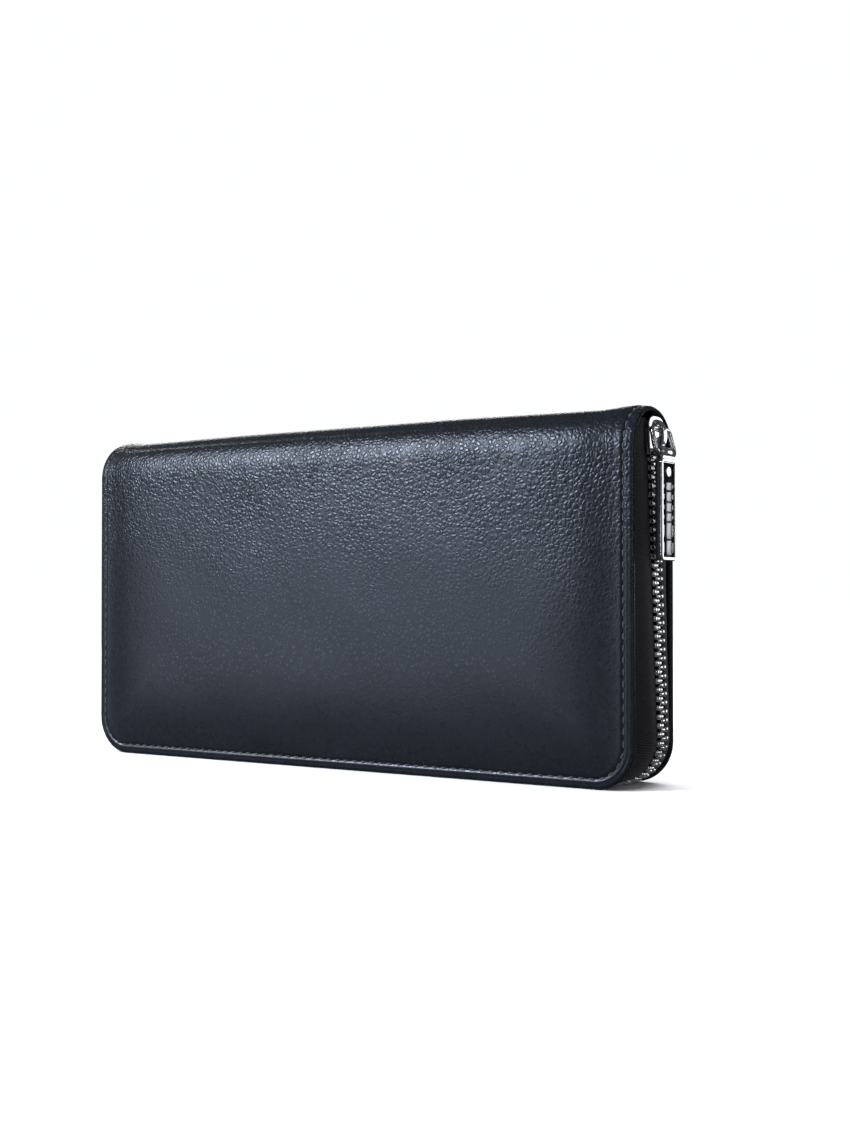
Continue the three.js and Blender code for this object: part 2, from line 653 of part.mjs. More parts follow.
function coinSlider() {
  const corner = (x, y, z) => new THREE.Vector3(x, y, z);
  const body = [
    block(corner(-3.5, -3.3, -2.2), corner(3.5, -2.6, 2.2)),
    block(corner(-1.9, -5.2, -0.8), corner(-1.2, -3.2, 0.8)),
    block(corner(1.2, -5.2, -0.8), corner(1.9, -3.2, 0.8)),
    block(corner(-1.9, -5.2, -0.8), corner(1.9, -4.6, 0.8)),
  ];
  return fromSolid(body.map(solid).reduce((whole, piece) => whole.add(piece)));
}
const coinSliderPlace = new THREE.Group();
coinSliderPlace.position.set(COIN_SLIDER_X, 0, slotMiddle);
wallet.add(coinSliderPlace);
addMesh(coinSliderPlace, "coin_zip_slider", coinSlider(), "metal");

export default wallet;
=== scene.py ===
import math

import bmesh
import bpy
import numpy as np
from mathutils import Matrix, Vector


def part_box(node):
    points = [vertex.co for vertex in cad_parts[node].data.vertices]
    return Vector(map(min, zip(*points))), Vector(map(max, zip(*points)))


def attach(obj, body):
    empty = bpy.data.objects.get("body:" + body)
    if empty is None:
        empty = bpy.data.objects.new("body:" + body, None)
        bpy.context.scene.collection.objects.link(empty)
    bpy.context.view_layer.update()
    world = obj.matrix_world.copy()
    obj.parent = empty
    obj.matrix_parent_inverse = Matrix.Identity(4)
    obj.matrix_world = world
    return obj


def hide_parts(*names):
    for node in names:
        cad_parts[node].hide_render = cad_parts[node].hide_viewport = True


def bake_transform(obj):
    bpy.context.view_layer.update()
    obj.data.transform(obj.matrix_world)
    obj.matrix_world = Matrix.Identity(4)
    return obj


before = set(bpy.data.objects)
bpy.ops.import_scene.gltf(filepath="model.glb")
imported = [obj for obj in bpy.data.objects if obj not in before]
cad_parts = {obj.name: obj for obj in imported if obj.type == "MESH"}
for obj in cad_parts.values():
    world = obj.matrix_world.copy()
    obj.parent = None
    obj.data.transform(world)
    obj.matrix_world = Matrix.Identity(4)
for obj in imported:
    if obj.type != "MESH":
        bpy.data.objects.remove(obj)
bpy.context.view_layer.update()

MM = 0.001


def box_mm(node):
    low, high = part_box(node)
    return Vector(low) / MM, Vector(high) / MM


# ---- Driving sizes, from the frame ----

leather_low, leather_high = box_mm("front_cover_leather")
HALF_LENGTH = leather_high.x
HEIGHT = leather_high.z
PAD_DEPTH = -leather_low.y  # outer face of the leather over the foam
RIM_DEPTH = PAD_DEPTH - 2.0  # and at its edge
CORNER = 12.0
ARCH_Z = HEIGHT - RIM_DEPTH
EDGE_THICKNESS = 1.9
SEAM_INSET = 2.9  # from the edge to the stitches
STITCH_PITCH = 3.2

# The zip's chain: a leaning straight side, a corner, and the bottom.
CHAIN_TOP = (98.9, 98.0)
CHAIN_CORNER = (89.6, 13.9)
CHAIN_RADIUS = 12.3
CHAIN_TILT = math.radians(2.05)
TOOTH_PITCH = 2.42
ROW_START_Z = 98.2  # the rows of teeth start here, at the slider
ROW_END_Z = 96.4  # and end here, at the far end

# The slider, and the bars that the ring and the tab turn on.
SLIDER_Z = 95.5
CROSSBAR = (3.1, 2.2)  # outwards and up from the slider's middle
LOWER_BAR = Vector((103.6, 0, 91.5))
PLATE = (1.3, 2.1)  # inner and outer face of a slider plate, from the middle of the chain
TAB_WIDTH = 9.2
TAB_LENGTH = 29.5
TAB_HALF = 1.0  # half the tab's thickness


# ---- Small mesh tools ----

def new_object(name, data):
    """An object in the scene."""
    item = bpy.data.objects.new(name, data)
    bpy.context.scene.collection.objects.link(item)
    return item


def link(name, mesh, look, smooth=True):
    """A piece of the wallet in one of MATERIALS."""
    piece = new_object(name, mesh)
    mesh.materials.append(MATERIALS[look])
    if smooth:
        mesh.shade_smooth()
    return piece


def mesh_from(name, points, faces):
    """A mesh from points in millimetres."""
    mesh = bpy.data.meshes.new(name)
    mesh.from_pydata((np.asarray(points, float) * MM).tolist(), [], faces)
    mesh.update()
    return mesh


def grid_faces(rows, columns, start=0, closed=False, flip=False):
    across = columns if closed else columns - 1
    i, j = np.meshgrid(np.arange(rows - 1), np.arange(across), indexing="ij")
    k = (j + 1) % columns
    quads = np.stack([i * columns + j, i * columns + k, (i + 1) * columns + k, (i + 1) * columns + j], -1)
    quads = quads.reshape(-1, 4) + start
    return (quads[:, ::-1] if flip else quads).tolist()


def end_caps(rows, count):
    """The two end faces of a tube with count points in each of its rows."""
    return [list(range(count))[::-1], list(range((rows - 1) * count, rows * count))]


def outward(mesh, merge=0.0):
    """Turns every face of a closed mesh outwards, once points closer than merge are made one."""
    work = bmesh.new()
    work.from_mesh(mesh)
    if merge:
        bmesh.ops.remove_doubles(work, verts=work.verts, dist=merge)
    bmesh.ops.recalc_face_normals(work, faces=work.faces)
    work.to_mesh(mesh)
    work.free()
    return mesh


def along_x(level, a, b):
    """Outlines drawn as (y, z) and extruded along X."""
    return (level, a, b)


def along_y(level, a, b):
    """Outlines drawn as (x, z) and extruded along Y."""
    return (a, level, b)


def prism(outline, near, far, place=along_x):
    """An outline of (a, b) pairs between two levels; place(level, a, b) gives the point in 3-D."""
    count = len(outline)
    points = [place(near, a, b) for a, b in outline] + [place(far, a, b) for a, b in outline]
    faces = end_caps(2, count)
    faces += [[j, (j + 1) % count, count + (j + 1) % count, count + j] for j in range(count)]
    return points, faces


def join_parts(parts):
    """Several shapes as one."""
    points, faces = [], []
    for part_points, part_faces in parts:
        start = len(points)
        points += [tuple(p) for p in part_points]
        faces += [[start + k for k in face] for face in part_faces]
    return points, faces


def rounded_rectangle(left, low, right, high, radius, steps=5):
    corners = [
        (right - radius, low + radius, -90),
        (right - radius, high - radius, 0),
        (left + radius, high - radius, 90),
        (left + radius, low + radius, 180),
    ]
    points = []
    for x, y, start in corners:
        for k in range(steps + 1):
            turn = math.radians(start + 90 * k / steps)
            points.append((x + radius * math.cos(turn), y + radius * math.sin(turn)))
    return points


def bevel(piece, width, segments=3):
    modifier = piece.modifiers.new("edges", "BEVEL")
    modifier.width = width * MM
    modifier.segments = segments
    modifier.limit_method = "ANGLE"
    modifier.angle_limit = math.radians(30)


def smoothstep(low, high, value):
    t = np.clip((np.asarray(value, float) - low) / (high - low), 0, 1)
    return t * t * (3 - 2 * t)


# ---- Materials ----

class Nodes:
    """Short calls for building a node material."""

    def __init__(self, name):
        self.material = bpy.data.materials.new(name)
        self.material.use_nodes = True
        self.tree = self.material.node_tree
        self.shader = self.tree.nodes["Principled BSDF"]

    def set(self, **values):
        """Sets the shader's inputs to values or to other nodes' outputs."""
        for name, value in values.items():
            self.plug(self.shader.inputs[name.replace("_", " ")], value)

    def add(self, kind, **inputs):
        node = self.tree.nodes.new(kind)
        for name, value in inputs.items():
            if name in node.inputs:
                self.plug(node.inputs[name], value)
            else:
                setattr(node, name, value)
        return node

    def plug(self, socket, value):
        if isinstance(value, bpy.types.NodeSocket):
            self.tree.links.new(value, socket)
        else:
            socket.default_value = value

    def coordinates(self):
        return self.add("ShaderNodeTexCoord").outputs["Object"]

    def math(self, operation, *values):
        node = self.add("ShaderNodeMath", operation=operation)
        for socket, value in zip(node.inputs, values):
            self.plug(socket, value)
        return node.outputs[0]

    def noise(self, scale, detail=3.0, roughness=0.55, vector=None):
        node = self.add("ShaderNodeTexNoise", Scale=scale, Detail=detail, Roughness=roughness)
        self.plug(node.inputs["Vector"], vector if vector else self.coordinates())
        return node

    def remap(self, value, from_low, from_high, to_low, to_high):
        limits = {"From Min": from_low, "From Max": from_high, "To Min": to_low, "To Max": to_high}
        return self.add("ShaderNodeMapRange", Value=value, **limits).outputs["Result"]

    def mix(self, factor, a, b):
        node = self.add("ShaderNodeMix", data_type="RGBA", Factor=factor)
        self.plug(node.inputs[6], a)
        self.plug(node.inputs[7], b)
        return node.outputs[2]

    def bump(self, height, distance, strength=1.0, normal=None):
        node = self.add("ShaderNodeBump", Height=height, Distance=distance, Strength=strength)
        if normal:
            self.plug(node.inputs["Normal"], normal)
        return node.outputs["Normal"]


def colour(r, g, b):
    return (r, g, b, 1.0)


def leather_material(name, cell, depth, dark, light, roughness, height_fade=False):
    """Pebble-grain leather. cell is the size of a pebble and depth the depth of its creases, in mm.

    With height_fade the grain is strong near the spine and almost gone at the lower edge.
    """
    n = Nodes(name)
    place = n.coordinates()
    wander = n.noise(0.35 / (cell * MM), 2.0, 0.5)
    shifted = n.add("ShaderNodeVectorMath", operation="MULTIPLY_ADD")
    n.plug(shifted.inputs[0], wander.outputs["Color"])
    shifted.inputs[1].default_value = (1.1 * cell * MM,) * 3
    n.plug(shifted.inputs[2], place)
    creases = n.add("ShaderNodeTexVoronoi", feature="DISTANCE_TO_EDGE", Scale=1 / (cell * MM),
                    Vector=shifted.outputs[0])
    crease = n.remap(creases.outputs["Distance"], 0.0, 0.3, 0.0, 1.0)
    crease.node.interpolation_type = "SMOOTHSTEP"
    pebbles = n.add("ShaderNodeTexVoronoi", feature="SMOOTH_F1", Scale=1 / (cell * MM), Smoothness=0.5,
                    Vector=shifted.outputs[0])
    domed = n.math("MULTIPLY_ADD", pebbles.outputs["Distance"], -0.7, crease)
    patches = n.noise(48.0, 4.0, 0.6)
    strength = n.remap(patches.outputs["Fac"], 0.35, 0.65, 0.55, 1.0)
    if height_fade:
        split = n.add("ShaderNodeSeparateXYZ", Vector=place)
        up = n.math("DIVIDE", split.outputs["Z"], 88 * MM)
        rising = n.math("MULTIPLY_ADD", n.math("POWER", up, 2.2), 0.56, 0.03)
        strength = n.math("MULTIPLY", strength, n.math("MINIMUM", rising, 0.6))
    grain = n.math("MULTIPLY", domed, strength)
    slanted = n.add("ShaderNodeMapping", Vector=place, Rotation=(0, math.radians(40), 0), Scale=(1, 1, 0.28))
    folds = n.noise(420.0, 3.0, 0.55, slanted.outputs[0])
    wrinkles = n.math("MULTIPLY", folds.outputs["Fac"], strength)
    fine_bump = n.bump(n.noise(7000.0, 2.0, 0.6).outputs["Fac"], 0.010 * MM, 0.6)
    wrinkle_bump = n.bump(wrinkles, 2.2 * depth * MM, 0.7, fine_bump)
    n.set(Normal=n.bump(grain, depth * MM, 1.0, wrinkle_bump))
    # Painted shade: the colour is darker in the grain's creases, on top of a random patchy tone.
    crease_shade = n.remap(crease, 0.0, 1.0, 0.3, 1.0)
    patchy = n.remap(patches.outputs["Fac"], 0.3, 0.7, 0.8, 1.1)
    n.set(Base_Color=n.mix(n.math("MULTIPLY", crease_shade, patchy), dark, light))
    worn = n.remap(n.noise(700.0, 3.0).outputs["Fac"], 0.3, 0.7, roughness - 0.05, roughness + 0.07)
    n.set(Roughness=n.math("ADD", worn, n.remap(crease, 0.0, 1.0, 0.14, 0.0)))
    return n


def make_materials():
    found = {}
    cover = leather_material("pebble_leather", 1.35, 0.16, colour(0.0022, 0.0026, 0.0036),
                             colour(0.0085, 0.0105, 0.0150), 0.27, height_fade=True)
    cover.set(Specular_IOR_Level=0.42, Specular_Tint=colour(0.74, 0.83, 1.0))
    found["cover"] = cover.material
    inner = leather_material("inner_leather", 0.7, 0.06, colour(0.006, 0.006, 0.008),
                             colour(0.018, 0.019, 0.023), 0.5)
    inner.set(Specular_IOR_Level=0.35)
    found["inner"] = inner.material

    found["thread"] = thread_material()
    found["tape"] = woven_material("zip_tape_weave", 0.6, 0.12, colour(0.0022, 0.002, 0.003),
                                   colour(0.013, 0.012, 0.017))
    found["flat_tape"] = woven_material("coin_tape_weave", 0.5, 0.1, colour(0.003, 0.003, 0.004),
                                        colour(0.016, 0.015, 0.02), upright=True)
    cloth = (colour(0.008, 0.008, 0.011), colour(0.028, 0.028, 0.035))
    found["lining"] = woven_material("lining_weave", 0.5, 0.05, *cloth)
    found["flat_lining"] = woven_material("panel_lining_weave", 0.5, 0.05, *cloth, upright=True)
    found["foam"] = foam_material()
    found["board"] = board_material()
    found["chrome"] = metal_material("polished_plate", colour(0.80, 0.81, 0.84), 0.09, 0.01)
    found["satin"] = metal_material("satin_plate", colour(0.36, 0.37, 0.40), 0.30, 0.03)
    found["teeth"] = metal_material("silver_teeth", colour(0.78, 0.78, 0.80), 0.2, 0.02)
    found["dark"] = metal_material("darkened_recess", colour(0.035, 0.035, 0.04), 0.35, 0.02)
    return found


def thread_material():
    n = Nodes("thread")
    twist = n.add("ShaderNodeTexWave", Scale=1500.0, Distortion=1.5, wave_type="BANDS",
                  bands_direction="DIAGONAL", Vector=n.coordinates())
    # Painted shade and highlight: the colour follows the twist, darker in the grooves and lighter on the
    # ridges that the bump lifts.
    tone = n.mix(twist.outputs["Fac"], colour(0.008, 0.009, 0.012), colour(0.032, 0.034, 0.040))
    n.set(Base_Color=tone, Normal=n.bump(twist.outputs["Fac"], 0.08 * MM), Roughness=0.55, Sheen_Weight=0.3)
    return n.material


def woven_material(name, pitch, depth, dark, light, upright=False):
    """A twill weave with ribs pitch mm apart.

    It lies on the piece's UV lengths, or on X and Z for an upright panel.
    """
    n = Nodes(name)
    if upright:
        split = n.add("ShaderNodeSeparateXYZ", Vector=n.coordinates())
        across = n.math("MULTIPLY", split.outputs["X"], 1 / MM)
        along = n.math("MULTIPLY", split.outputs["Z"], 1 / MM)
        lengths = n.add("ShaderNodeCombineXYZ", X=across, Y=along).outputs[0]
    else:
        lengths = n.add("ShaderNodeUVMap", uv_map="Lengths").outputs["UV"]
    ribs = []
    for angle in (32, -58):
        turned = n.add("ShaderNodeMapping", Vector=lengths, Rotation=(0, 0, math.radians(angle)),
                       Scale=(1 / pitch, 1 / pitch, 1))
        # A wave texture's bands lie 0.314 units apart at scale 1, so this gives one rib in each pitch.
        wave = n.add("ShaderNodeTexWave", Scale=0.314, Distortion=0.4, wave_type="BANDS",
                     bands_direction="X", Detail=1.0, Vector=turned.outputs[0])
        ribs.append(wave.outputs["Fac"])
    weave = n.math("MULTIPLY", ribs[0], n.remap(ribs[1], 0.0, 1.0, 0.6, 1.0))
    fuzz = n.noise(4000.0, 2.0).outputs["Fac"]
    height = n.math("MULTIPLY_ADD", fuzz, 0.3, weave)
    n.set(Normal=n.bump(height, depth * MM))
    # Painted shade between the ribs: the colour is lighter on the raised ribs and darker in the hollows, with
    # a random fuzz tone on top.
    raised = n.math("MULTIPLY", weave, n.remap(fuzz, 0.3, 0.7, 0.7, 1.0))
    n.set(Base_Color=n.mix(raised, dark, light))
    n.set(Roughness=0.85, Specular_IOR_Level=0.25, Sheen_Weight=0.06, Sheen_Roughness=0.5)
    return n.material


def foam_material():
    n = Nodes("foam")
    cells = n.add("ShaderNodeTexVoronoi", feature="F1", Scale=1400.0, Vector=n.coordinates())
    # Painted shade in the pores: the colour is darker in the cell dimples that the bump sinks.
    tone = n.mix(cells.outputs["Distance"], colour(0.10, 0.10, 0.105), colour(0.26, 0.26, 0.27))
    n.set(Base_Color=tone, Normal=n.bump(cells.outputs["Distance"], 0.2 * MM), Roughness=0.95)
    return n.material


def board_material():
    n = Nodes("stiffener_board")
    fibres = n.noise(1200.0, 5.0, 0.7).outputs["Fac"]
    tone = n.mix(fibres, colour(0.20, 0.165, 0.125), colour(0.38, 0.33, 0.26))
    n.set(Base_Color=tone, Normal=n.bump(fibres, 0.06 * MM), Roughness=0.9)
    return n.material


def metal_material(name, base, roughness, wear):
    n = Nodes(name)
    cast = n.noise(350.0, 4.0, 0.6).outputs["Fac"]
    fine = n.noise(3200.0, 3.0, 0.6).outputs["Fac"]
    darker = colour(*(0.86 * c for c in base[:3]))
    n.set(Base_Color=n.mix(cast, darker, base))
    n.set(Roughness=n.remap(fine, 0.3, 0.75, roughness, roughness + 0.08))
    n.set(Normal=n.bump(cast, wear * MM), Metallic=1.0)
    return n.material


MATERIALS = make_materials()


# ---- The covers ----

BEVEL = (3.7, 18.0)  # where the padding starts to rise and where it is full, from the end
LOWER_BEVEL = (3.6, 34.0)  # the same above the lower edge
RIM_SLOPE = 0.55  # the rim is pinched thinner at its edge
PAD_PROUD = 0.3  # the leather swells a little past its flat stand-in
LUMP_SEEDS = {"front": 3, "back": 8}  # each cover has its own unevenness
HALVES = (("front", -1), ("back", 1))  # each cover's side of the middle plane

# A soft valley where the padding meets the spine: how far round the arch, how wide and how deep.
SHOULDER_FOLD = {"turn": 0.9, "spread": 0.15, "share": 0.035}

# Distances from the outline that the rolled edge and the seam need.
ROLL_STATIONS = [0, 0.12, 0.3, 0.55, 0.85, 1.2, 1.6, 2.0]
SEAM_STATIONS = [2.3, 2.55, 2.75, 2.9, 3.05, 3.25, 3.5, 3.8, 4.2, 4.7]
EDGE_STATIONS = ROLL_STATIONS + SEAM_STATIONS


def stations_along():
    """Places along the wallet: close together at the rolled edge, the seam and the bevel."""
    corner = [CORNER * (1 - math.cos(a)) for a in np.linspace(0.95, math.pi / 2, 9)]
    bevel_steps = list(np.arange(5.2, 30, 0.9))
    near_end = sorted({round(v, 3) for v in EDGE_STATIONS + corner + bevel_steps})
    near_end = [v for k, v in enumerate(near_end) if k == 0 or v - near_end[k - 1] > 0.1]
    middle = list(np.linspace(-HALF_LENGTH + 30, HALF_LENGTH - 30, 120))
    left = [-HALF_LENGTH + v for v in near_end]
    return np.array(left + middle + [-x for x in reversed(left)])


def profile_parameters():
    """Places up the profile: 0 to 1 along the straight face, 1 to 2 round to the crown."""
    straight = np.concatenate([EDGE_STATIONS, np.arange(5.4, ARCH_Z - 0.5, 0.95)]) / ARCH_Z
    return np.concatenate([straight, 1 + np.linspace(0, 1, 34)])


def lower_edge(x):
    """Height of the rounded outline's lower edge."""
    past = np.clip(np.abs(x) - (HALF_LENGTH - CORNER), 0, CORNER)
    return CORNER - np.sqrt(CORNER ** 2 - past ** 2)


def edge_distance(x, z):
    """Distance in from the cover's outline: its ends and its lower, rounded edge."""
    side = HALF_LENGTH - np.abs(x)
    cx = np.maximum(np.abs(x) - (HALF_LENGTH - CORNER), 0)
    cz = np.maximum(CORNER - z, 0)
    in_corner = (cx > 0) & (cz > 0)
    return np.where(in_corner, CORNER - np.hypot(cx, cz), np.minimum(side, z))


def crown_height(x):
    """The spine sags a little inboard of its stiff ends."""
    side = HALF_LENGTH - np.abs(x)
    dip = 0.9 * smoothstep(3, 14, side) * (1 - 0.45 * smoothstep(18, 60, side))
    return HEIGHT - 0.1 - dip


def swelling(distance, span):
    """0 at the seam, rising steeply at first and then easing into the full pad."""
    return 1 - (1 - np.clip((distance - span[0]) / (span[1] - span[0]), 0, 1)) ** 2.5


def lumps(x, z, seed):
    """Slow unevenness of hand-made padding, between about -1 and 1."""
    rng = np.random.default_rng(seed)
    total = np.zeros_like(x)
    for _ in range(14):
        wavelength = rng.uniform(22, 70)
        angle = rng.uniform(0, math.pi)
        phase = rng.uniform(0, 2 * math.pi)
        total += np.sin(2 * math.pi * (x * math.cos(angle) + z * math.sin(angle)) / wavelength + phase)
    return total / 6


def cover_half(seed):
    """A cover's outer points and their distances from the edge, in rows from the lower edge up to the crown.

    The points are the front's, with Y below 0; the back's are mirrored from them.
    """
    x, u = np.meshgrid(stations_along(), profile_parameters())
    side = HALF_LENGTH - np.abs(x)
    low = lower_edge(x)
    straight = np.clip(u, 0, 1)
    turn = np.clip(u - 1, 0, 1) * math.pi / 2
    padded = swelling(side, BEVEL)
    squareness = 2 + 0.8 * padded
    turn_z = ARCH_Z - 2.5 * padded
    z_straight = low + straight * (turn_z - low)
    rise = padded * swelling(edge_distance(x, z_straight), LOWER_BEVEL)
    depth = RIM_DEPTH + (PAD_DEPTH + PAD_PROUD - RIM_DEPTH) * rise
    height_share = np.clip(z_straight / ARCH_Z, 0, 1)
    depth = depth + 0.35 * rise * smoothstep(0, 60, side) * np.sin(height_share * math.pi)
    depth = depth + 0.14 * lumps(x, z_straight, seed) * rise
    valley = np.exp(-((turn - SHOULDER_FOLD["turn"]) / SHOULDER_FOLD["spread"]) ** 2)
    kept = 1 - SHOULDER_FOLD["share"] * padded * valley
    y = depth * kept * np.cos(turn) ** (2 / squareness)
    z = z_straight + np.where(u > 1, (crown_height(x) - turn_z) * kept * np.sin(turn) ** (2 / squareness), 0)
    points = np.stack([x, -y, z], -1)
    distance = np.minimum(edge_distance(x, np.where(u > 1, 50.0, z_straight)), side)
    return points, distance


def surface_normals(points):
    along = np.gradient(points, axis=1)
    up = np.gradient(points, axis=0)
    normal = np.cross(along, up)
    return normal / np.maximum(np.linalg.norm(normal, axis=-1, keepdims=True), 1e-9)


def seam_groove(distance):
    """Depth of the stitches' channel, the fine crease outside it and the rim's slope down to the edge."""
    channel = 0.36 * np.exp(-((distance - SEAM_INSET) / 0.40) ** 2)
    crease = 0.10 * np.exp(-((distance - 1.45) / 0.2) ** 2)
    slope = RIM_SLOPE * np.clip(1 - distance / BEVEL[0], 0, 1)
    return channel + crease + slope


def whole_cover():
    """Points from the front's lower edge over the spine to the back's, and their distances from the edge."""
    front, front_distance = cover_half(LUMP_SEEDS["front"])
    back, back_distance = cover_half(LUMP_SEEDS["back"])
    back = back * np.array([1, -1, 1])
    points = np.concatenate([front, back[-2::-1]])
    distance = np.concatenate([front_distance, back_distance[-2::-1]])
    return points, distance


def build_cover():
    points, distance = whole_cover()
    normal = surface_normals(points)
    radius = EDGE_THICKNESS / 2
    inside_edge = np.clip(radius - distance, 0, radius)
    roll = radius - np.sqrt(np.maximum(radius ** 2 - inside_edge ** 2, 0))
    outer = points - normal * (roll + seam_groove(distance))[..., None]
    inner = points - normal * (EDGE_THICKNESS - roll)[..., None]
    rows, columns = distance.shape
    count = rows * columns
    faces = grid_faces(rows, columns) + grid_faces(rows, columns, start=count, flip=True)
    left = range(0, count, columns)
    right = range(columns - 1, count, columns)
    front = range(columns)
    back = range(count - columns, count)
    for line, flip in ((left, False), (right, True), (front, True), (back, False)):
        for a, b in zip(line, line[1:]):
            quad = [a, b, count + b, count + a]
            faces.append(quad[::-1] if flip else quad)
    mesh = mesh_from("cover", np.concatenate([outer.reshape(-1, 3), inner.reshape(-1, 3)]), faces)
    cover = link("cover_leather", outward(mesh, 0.004 * MM), "cover")
    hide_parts("front_cover_leather", "back_cover_leather")
    return cover


def bend_spine(piece):
    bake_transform(piece)


cover = build_cover()
bend_spine(cover)


# ---- Seams ----

def seam_samples(half):
    """The line of one cover's seam in the leather's surface, and the leather's normals along it."""
    points, distance = cover_half(LUMP_SEEDS[half])
    normal = surface_normals(points)
    rows, columns = distance.shape
    place = points - normal * seam_groove(distance)[..., None]
    left, right = sorted(np.argsort(np.abs(distance[60] - SEAM_INSET))[:2])
    first_row = int(np.argmin(np.abs(distance[:60, columns // 2] - SEAM_INSET)))
    upwards = range(first_row, rows)
    run = [(r, left) for r in reversed(upwards) if distance[r, left] > SEAM_INSET - 0.1]
    run += corner_run(distance, left, right)
    run += [(r, right) for r in upwards if distance[r, right] > SEAM_INSET - 0.1]
    line = np.array([place[r, c] for r, c in run])
    facing = np.array([normal[r, c] for r, c in run])
    if half == "back":
        line = line * (1, -1, 1)
        facing = facing * (1, -1, 1)
    return line, facing


def corner_run(distance, left, right):
    """Grid places that follow the seam along the lower edge and round both corners."""
    return [(int(np.argmin(np.abs(distance[:80, c] - SEAM_INSET))), c) for c in range(left + 1, right)]


def resample(line, facing, pitch):
    """Places a pitch apart along a line, with the line's direction and the normal at each."""
    steps = np.linalg.norm(np.diff(line, axis=0), axis=1)
    along = np.concatenate([[0], np.cumsum(steps)])
    keep = np.concatenate([[True], steps > 1e-6])
    along, line, facing = along[keep], line[keep], facing[keep]
    places = np.arange(pitch / 2, along[-1] - pitch / 2, pitch)
    at = np.stack([np.interp(places, along, line[:, k]) for k in range(3)], -1)
    ahead = np.stack([np.interp(places + 0.4, along, line[:, k]) for k in range(3)], -1)
    normal = np.stack([np.interp(places, along, facing[:, k]) for k in range(3)], -1)
    run = ahead - at
    return at, run / np.linalg.norm(run, axis=1)[:, None], normal / np.linalg.norm(normal, axis=1)[:, None]


def capsule(length, radius, rings=7, sides=8):
    """A stitch: fat in the middle, diving into the leather at both ends."""
    points = []
    for k in range(rings):
        t = k / (rings - 1) * 2 - 1
        r = radius * math.sqrt(max(1 - abs(t) ** 3, 0.02))
        dive = -0.42 * abs(t) ** 3
        for j in range(sides):
            a = 2 * math.pi * j / sides
            points.append((t * length / 2, r * math.cos(a), r * math.sin(a) + dive))
    return np.array(points), grid_faces(rings, sides, closed=True) + end_caps(rings, sides)


def scatter(base_points, base_faces, places, runs, normals, rise=0.0):
    """Copies of one small shape, with x along each run and z along each normal."""
    points, faces = [], []
    for at, run, normal in zip(places, runs, normals):
        side = np.cross(normal, run)
        side = side / np.linalg.norm(side)
        up = np.cross(run, side)
        start = len(points) * len(base_points)
        points.append(at + up * rise + base_points @ np.stack([run, side, up]))
        faces += [[start + k for k in face] for face in base_faces]
    return np.concatenate(points), faces


def solid(name, points, faces, look, smooth=True):
    """A piece with outward faces, from closed shapes in millimetres."""
    return link(name, outward(mesh_from(name, points, faces)), look, smooth)


def build_stitches():
    stitch_points, stitch_faces = capsule(2.35, 0.27)
    for half, _ in HALVES:
        line, facing = seam_samples(half)
        places, runs, normals = resample(line, facing, STITCH_PITCH)
        points, faces = scatter(stitch_points, stitch_faces, places, runs, normals, rise=0.12)
        bend_spine(solid(f"{half}_stitching", points, faces, "thread"))


build_stitches()


# ---- The zip ----

def chain_side_x(z):
    return CHAIN_TOP[0] + (CHAIN_TOP[1] - z) * math.tan(CHAIN_TILT)


class ChainPath:
    """The middle line of the teeth, from the slider end round to the far end."""

    def __init__(self, start_z, end_z):
        cx, cz = CHAIN_CORNER
        self.corner_z = cz + CHAIN_RADIUS * math.sin(CHAIN_TILT)
        self.side = (start_z - self.corner_z) / math.cos(CHAIN_TILT)
        self.arc = (math.pi / 2 + CHAIN_TILT) * CHAIN_RADIUS
        self.bottom = 2 * cx
        self.far_side = (end_z - self.corner_z) / math.cos(CHAIN_TILT)
        self.total = self.side + 2 * self.arc + self.bottom + self.far_side

    def at(self, s):
        """A point of the line and the outward direction there, in the X-Z plane."""
        cx, cz = CHAIN_CORNER
        past_side = s - self.side
        on_left = past_side > self.arc + self.bottom / 2
        if on_left:  # the left half mirrors the right
            past_side = 2 * self.arc + self.bottom - past_side
        past_corner = past_side - self.arc
        if past_side <= 0:
            z = self.corner_z - past_side * math.cos(CHAIN_TILT)
            x, out = chain_side_x(z), (math.cos(CHAIN_TILT), math.sin(CHAIN_TILT))
        elif past_corner <= 0:
            turn = past_side / CHAIN_RADIUS - CHAIN_TILT
            out = (math.cos(turn), -math.sin(turn))
            x, z = cx + CHAIN_RADIUS * out[0], cz + CHAIN_RADIUS * out[1]
        else:
            x, z, out = cx - past_corner, cz - CHAIN_RADIUS, (0.0, -1.0)
        return ((-x, z), (-out[0], out[1])) if on_left else ((x, z), out)


def follow_zip(piece, side):
    """The front side of the zip (side -1) has its place baked into its mesh, and the back side keeps to the
    back cover.
    """
    if side < 0:
        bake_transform(piece)
    else:
        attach(piece, "back_half")


def tooth_shape():
    """One tooth: x across the row towards the middle plane, y along the chain, z outwards."""
    outline = [
        # across, half width along the chain, half thickness
        (-3.15, 0.45, 0.80),
        (-3.05, 0.68, 1.02),
        (-2.2, 0.78, 1.12),
        (-1.5, 0.76, 1.10),
        (-1.15, 0.50, 0.95),
        (-0.6, 0.46, 0.92),
        (-0.1, 0.55, 0.98),
        (0.35, 0.56, 0.95),
        (0.62, 0.44, 0.80),
        (0.72, 0.22, 0.5),
    ]
    sides = 12
    square = 0.5  # the power that turns a circle into a rounded square
    points = []
    for across, half_width, half_thickness in outline:
        for j in range(sides):
            a = 2 * math.pi * (j + 0.5) / sides
            c, s = math.cos(a), math.sin(a)
            points.append((across, half_width * math.copysign(abs(c) ** square, c),
                           half_thickness * math.copysign(abs(s) ** square, s)))
    rings = len(outline)
    return np.array(points), grid_faces(rings, sides, closed=True) + end_caps(rings, sides)


